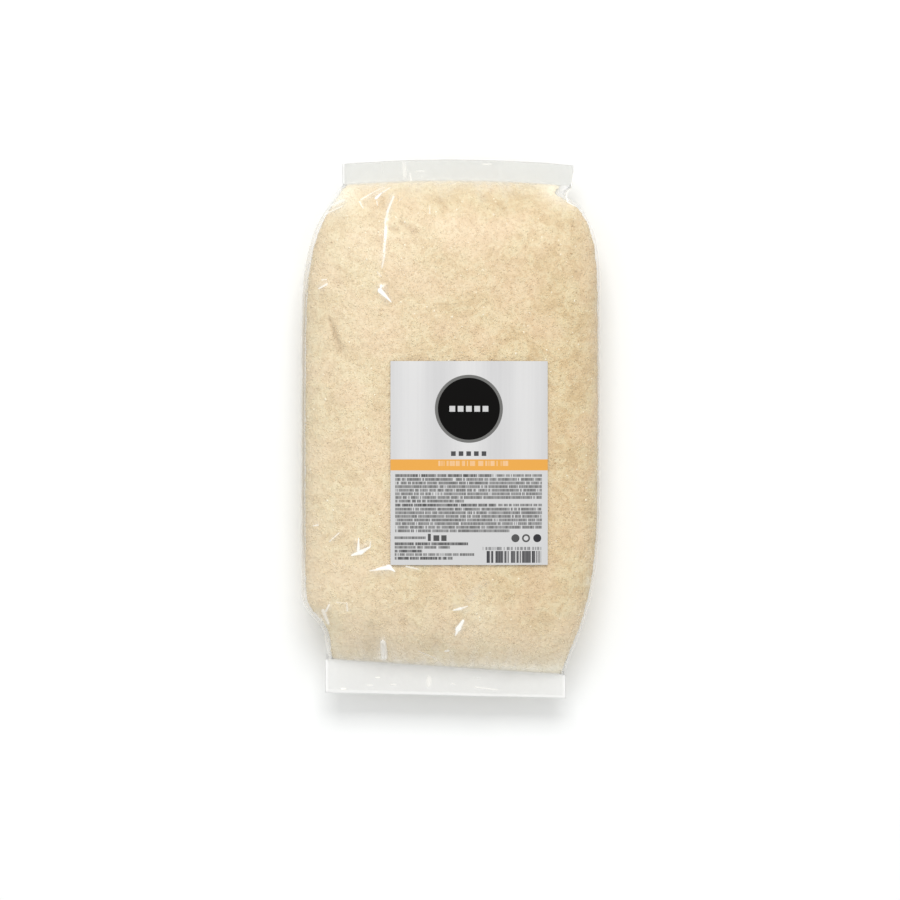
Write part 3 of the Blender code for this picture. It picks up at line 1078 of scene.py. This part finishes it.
class Print:
    """Masks for the label's print, in millimetres from its lower left corner."""

    def __init__(self, surface):
        self.surface = surface
        across, along, _, self.vector = surface.place()
        self.x = (across - LABEL_LOW[0]) / MM
        self.y = (along - LABEL_LOW[1]) / MM

    def between(self, value, low, high):
        return (value > low) * (value < high)

    def box(self, left, right, low, high):
        return self.between(self.x, left, right) * self.between(self.y, low, high)

    def disc(self, x, y, radius):
        across, along = self.x - x, self.y - y
        return across * across + along * along < radius * radius

    def any_of(self, *masks):
        whole = masks[0]
        for mask in masks[1:]:
            whole = self.surface.maths("MAXIMUM", whole, mask)
        return whole

    def dashes(self, row, seed, filled):
        """1 in the filled share of the cells along a row, which come and go at random like words."""
        cell = self.surface.maths("FLOOR", self.x / DASH)
        vector = self.surface.node("CombineXYZ", {}, {0: cell, 1: row, 2: seed})
        spot = self.surface.node("TexWhiteNoise", {"noise_dimensions": "3D"}, {0: vector}, "Value")
        return (spot < filled) * (spot * 0.45 + 0.6)

    def text_row(self, left, right, low, height, seed, filled=0.88):
        return self.box(left, right, low, low + height) * self.dashes(0.0, seed, filled)

    def text_block(self, left, right, low, rows, last_right, seed):
        """Rows of small text-like dashes, the lowest of which ends early at last_right."""
        from_low = (self.y - low) / ROW_PITCH
        row = self.surface.maths("FLOOR", from_low)
        within = from_low - row
        short = (row < 0.5) * (self.x > last_right)
        inside = self.box(left, right, low, low + rows * ROW_PITCH) * (1 - short)
        return inside * (within < 0.80) * self.dashes(row, seed, 0.92)


def label_material():
    """The printed label: a silver field over an orange band over a white panel, with plain marks."""
    label = Surface("printed_label")
    marks = Print(label)
    # bands lighter and darker across the silver field
    silver_bands = label.maths("COSINE", (marks.x - SILVER_BAND_FIRST) * (math.tau / SILVER_BAND_PITCH))
    brushed = label.noise(label.node("CombineXYZ", {}, {0: marks.x * 0.9, 1: marks.y * 0.015}), 1.0, 3.0)
    silver_tone = silver_bands * 0.5 + 0.5 + (brushed - 0.5) * 0.8
    silver = label.mix(silver_tone, (0.580, 0.578, 0.581, 1.0), (0.660, 0.657, 0.656, 1.0))
    upper = marks.y > 49.9
    base = label.mix(upper, LABEL_WHITE, silver)

    orange = marks.box(-1.0, 80.0, 44.5, 49.7)
    base = label.mix(orange, base, LABEL_ORANGE)
    pale_dashes = marks.box(22.5, 55.4, 46.6, 49.0) * marks.dashes(3.0, 5.0, 0.7)
    base = label.mix(pale_dashes * 0.34, base, (0.90, 0.86, 0.78, 1.0))

    ring = marks.disc(*EMBLEM, 16.0)
    base = label.mix(ring, base, (0.155, 0.155, 0.150, 1.0))
    disc = marks.disc(*EMBLEM, 14.6)
    base = label.mix(disc, base, PRINT_BLACK)
    cubes = marks.any_of(*[marks.box(x - 1.35, x + 1.35, 72.15, 74.85) for x in CUBES])
    base = label.mix(cubes, base, (0.55, 0.55, 0.55, 1.0))
    ornaments = marks.any_of(*[marks.box(x - 1.1, x + 1.1, 51.3, 53.5) for x in ORNAMENTS])
    base = label.mix(ornaments, base, (0.075, 0.075, 0.078, 1.0))

    body = marks.any_of(
        marks.text_block(2.2, 71.3, 29.4, 7, 34.6, 11.0),
        marks.text_block(2.2, 71.3, 15.4, 7, 56.0, 12.0),
        marks.text_row(2.0, 28.0, 7.7, 1.25, 14.0),
        marks.text_row(2.0, 39.4, 4.3, 1.25, 15.0),
        marks.text_row(1.9, 16.6, 12.2, 1.25, 17.0, 0.95),
        marks.text_row(49.3, 71.3, 41.5, 1.2, 22.0),
        marks.text_row(50.7, 71.3, 27.6, 1.2, 23.0),
    )
    heavy = marks.any_of(
        marks.text_row(2.2, 48.4, 41.4, 1.35, 13.0, 0.96),
        marks.text_row(2.2, 49.8, 27.5, 1.35, 16.0, 0.96),
        marks.text_row(2.0, 36.5, 9.3, 1.35, 18.0, 0.95),
        marks.text_row(2.0, 14.9, 5.9, 1.30, 19.0, 0.95),
        marks.text_row(2.0, 29.2, 2.5, 1.35, 20.0, 0.95),
        marks.box(17.6, 19.0, 11.3, 14.7),
        marks.box(20.2, 23.0, 11.3, 14.0),
        marks.box(23.9, 26.4, 11.3, 14.0),
        marks.disc(58.8, 12.6, 1.9),
        marks.disc(63.8, 12.6, 1.9) * (1 - marks.disc(63.8, 12.6, 1.1)),
    )
    base = label.mix(body * 0.98, base, PRINT_GREY)
    base = label.mix(heavy * 0.95, base, (0.06, 0.06, 0.06, 1.0))

    bar = label.maths("FLOOR", marks.x / BAR_PITCH)
    bar_spot = label.node("TexWhiteNoise", {"noise_dimensions": "1D"}, {"W": bar}, "Value")
    bars = marks.box(44.6, 70.9, 1.0, 6.6) * (bar_spot < 0.66) * (bar_spot * 0.3 + 0.80)
    digits = marks.box(43.4, 71.8, 7.0, 8.5) * marks.dashes(9.0, 21.0, 0.6) * 0.8
    darkest = marks.any_of(bars, digits, marks.disc(69.1, 12.6, 1.9))
    base = label.mix(darkest * 0.98, base, (0.025, 0.025, 0.03, 1.0))

    printed = label.principled(
        {
            "Base Color": base,
            "Metallic": upper * (1 - ring) * 0.15,
            "Roughness": 0.36 + brushed * 0.12,
            "Specular IOR Level": 0.06,
            "Normal": label.bump(label.noise(marks.vector, 1500.0), 0.00003, 0.5),
        }
    )
    return label.finish(printed)


# ------------------------------------------------------------------ the bag

build_film(film_material())
build_glints(glint_material())
sugar = sugar_surface()
body_of_sugar = tube_mesh("sugar_body", sugar[0], SUGAR.front_columns)
set_shades(body_of_sugar, sugar[0], np.arange(sugar[0].shape[1]) <= SUGAR.front_columns)
piece("sugar_body", body_of_sugar, sugar_material(), "bag")
CRYSTAL_KINDS = (
    ("crystals_pale", 15800, 0.52, colour(229, 213, 172), colour(219, 196, 151), 0.28),
    ("crystals_straw", 15800, 0.55, colour(226, 208, 165), colour(216, 191, 145), 0.28),
    ("crystals_golden", 15800, 0.54, colour(223, 203, 158), colour(213, 186, 139), 0.28),
    ("crystals_amber", 15800, 0.48, colour(221, 200, 153), colour(209, 182, 135), 0.32),
    # a few near-white crystals as painted sparkle
    ("crystals_painted_sparkle", 380, 0.62, colour(255, 247, 226), colour(250, 238, 208), 0.15),
    ("crystals_brown", 380, 0.50, colour(178, 144, 92), colour(160, 124, 74), 0.30),
)
for number, (name, count, half_length, light, deep, roughness) in enumerate(CRYSTAL_KINDS):
    crystal = crystal_material(name, light, deep, roughness)
    build_crystals(name, sugar, count, half_length * MM, 41 + number, crystal)
build_label(label_material())

# ------------------------------------------------------------------ the studio


def floor():
    """A pale floor far wider than the view."""
    half = 2.5
    corners = np.array([(-half, -half, 0.0), (half, -half, 0.0), (half, half, 0.0), (-half, half, 0.0)])
    mesh = mesh_from("floor", corners, np.array([[0, 1, 2, 3]]))
    paper = Surface("pale_floor")
    lit_through = {
        "Base Color": (0.905, 0.916, 0.912, 1.0),
        "Roughness": 0.9,
        "Specular IOR Level": 0.1,
    }
    mesh.materials.append(paper.finish(paper.principled(lit_through)))
    made = placed("floor", mesh)


def softbox(name, place, width, length, watts, turn=0.0):
    """A rectangular light at a place, which faces the bag's middle."""
    light = bpy.data.lights.new(name, "AREA")
    light.shape = "RECTANGLE"
    light.size, light.size_y = width, length
    light.energy = watts
    made = placed(name, light)
    made.location = place
    aim = (Vector((0.0, 0.0, 0.02)) - made.location).to_track_quat("-Z", "Y")
    made.rotation_euler = (aim @ Quaternion((0.0, 0.0, 1.0), turn)).to_euler()


def camera():
    """Looks straight down on the bag from well above it."""
    lens = bpy.data.cameras.new("camera")
    lens.lens = 100.0
    lens.sensor_width = 36.0
    made = placed("camera", lens)
    made.location = (-0.0002, -0.0102, 1.222)
    bpy.context.scene.camera = made


floor()
softbox("key_left", (-0.50, 0.25, 1.00), 0.40, 0.60, 0.4)
softbox("strip_top", (0.0, 1.20, 1.70), 1.25, 0.80, 24.0)
softbox("fill_low", (0.1, -1.10, 0.55), 0.80, 0.40, 1.5)
camera()

world = bpy.data.worlds.new("studio")
world.use_nodes = True
world.node_tree.nodes["Background"].inputs["Color"].default_value = (1.0, 1.0, 1.0, 1.0)
world.node_tree.nodes["Background"].inputs["Strength"].default_value = 0.685
bpy.context.scene.world = world
bpy.context.scene.view_settings.view_transform = "Standard"
